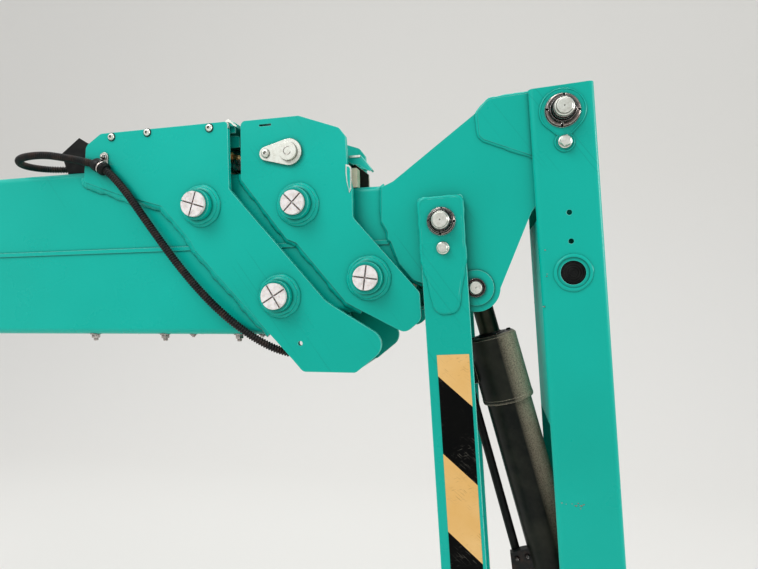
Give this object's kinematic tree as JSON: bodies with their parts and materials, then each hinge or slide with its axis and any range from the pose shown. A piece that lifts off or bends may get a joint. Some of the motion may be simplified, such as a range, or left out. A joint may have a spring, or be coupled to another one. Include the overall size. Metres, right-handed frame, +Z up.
{
  "type": "telescopic aerial platform boom with folding jib",
  "caption": "Telescopic box boom with nose collars and pad adjusters, a plated head, and a hanging jib of arm, paired links and cylinder ending in a basket carrier.",
  "frame": {"origin": "centre of the rear pivot bore, on the boom's plane of symmetry and on the level of the sections' lap welds", "axes": "+X along the boom towards the jib, +Z up with the boom level, +Y to the left across the boom"},
  "size_m": [3.3526, 0.22, 1.4818],
  "materials": {
    "teal_paint": "glossy teal-green enamel with light scratches",
    "white_plastic": "moulded, slightly weathered",
    "cream_nylon": "machined nylon",
    "zinc_steel": "turned and zinc plated",
    "cylinder_paint": "matte grey-black paint",
    "chrome_rod": "hard chrome",
    "black_rubber": "smooth rubber",
    "black_plastic": "corrugated conduit and moulded glands"
  },
  "bodies": {
    "outer_boom": {"outer_boom_tube": "teal_paint", "outer_collar_plates": "teal_paint", "outer_collar_covers": "teal_paint", "outer_adjuster_bosses": "teal_paint", "outer_adjusters": "white_plastic", "outer_nose_pads": "cream_nylon", "pivot_lugs": "teal_paint", "pivot_tube": "teal_paint", "lift_lugs": "teal_paint", "conduit": "black_plastic", "conduit_clip": "zinc_steel", "conduit_glands": "black_plastic"},
    "middle_boom": {"middle_boom_tube": "teal_paint", "middle_collar_plates": "teal_paint", "middle_collar_cover": "teal_paint", "middle_adjuster_bosses": "teal_paint", "middle_adjusters": "white_plastic", "middle_nose_pads": "cream_nylon", "middle_tail_pads": "cream_nylon", "chain_pin": "zinc_steel", "chain_pin_keeper": "zinc_steel", "middle_top_pad": "cream_nylon", "middle_pad_keeper": "teal_paint"},
    "inner_boom": {"inner_boom_tube": "teal_paint", "inner_tail_pads": "cream_nylon", "head_plates": "teal_paint", "head_doublers": "teal_paint", "head_bushes": "teal_paint", "head_top_web": "teal_paint", "cylinder_pin_ends": "zinc_steel"},
    "jib_arm": {"jib_arm": "teal_paint", "arm_plugs": "black_rubber", "arm_keyhole_pads": "teal_paint", "arm_pins": "zinc_steel", "arm_nuts": "zinc_steel", "cylinder_spacers": "teal_paint", "cylinder_base_pin": "zinc_steel"},
    "jib_links": {"jib_links": "teal_paint", "link_doublers": "teal_paint", "link_pins": "zinc_steel", "link_nuts": "zinc_steel"},
    "cylinder_barrel": {"cylinder_barrel": "cylinder_paint", "cylinder_gland": "cylinder_paint", "cylinder_pipe": "black_rubber"},
    "cylinder_rod": {"cylinder_rod": "chrome_rod", "rod_pin_middle": "zinc_steel"},
    "basket_carrier": {"carrier_plates": "teal_paint", "carrier_tubes": "teal_paint", "carrier_post": "teal_paint"}
  },
  "joints": [
    {"name": "middle_slide", "type": "slide", "parent": "outer_boom", "child": "middle_boom", "axis": [1, 0, 0], "range_m": [0, 1.9]},
    {"name": "inner_slide", "type": "slide", "parent": "middle_boom", "child": "inner_boom", "axis": [1, 0, 0], "range_m": [0, 1.9]},
    {"name": "jib_hinge", "type": "hinge", "parent": "inner_boom", "child": "jib_arm", "pos_m": [3, 0, 0.184], "axis": [0, -1, 0], "range_deg": [0, 88]},
    {"name": "link_hinge", "type": "hinge", "parent": "inner_boom", "child": "jib_links", "pos_m": [2.817, 0, 0.027], "axis": [0, -1, 0], "range_deg": [0, 88]},
    {"name": "carrier_hinge", "type": "hinge", "parent": "jib_arm", "child": "basket_carrier", "pos_m": [3.0567, 0, -1.06471], "axis": [0, -1, 0], "range_deg": [-88, 0]},
    {"name": "barrel_swing", "type": "hinge", "parent": "jib_arm", "child": "cylinder_barrel", "pos_m": [3.0425, 0, -0.75204], "axis": [0, -1, 0], "range_deg": [0, 1.76]},
    {"name": "rod_slide", "type": "slide", "parent": "cylinder_barrel", "child": "cylinder_rod", "axis": [-0.2506, 0, 0.9681], "range_m": [0, 0.407]}
  ],
  "couplings": [
    {"joint": "inner_slide", "follows": "middle_slide", "ratio": 1},
    {"joint": "link_hinge", "follows": "jib_hinge", "ratio": 1},
    {"joint": "carrier_hinge", "follows": "jib_hinge", "ratio": -1},
    {"joint": "barrel_swing", "follows": "jib_hinge", "ratio": 0.019907},
    {"joint": "rod_slide", "follows": "jib_hinge", "m_per_rad": 0.2648}
  ]
}
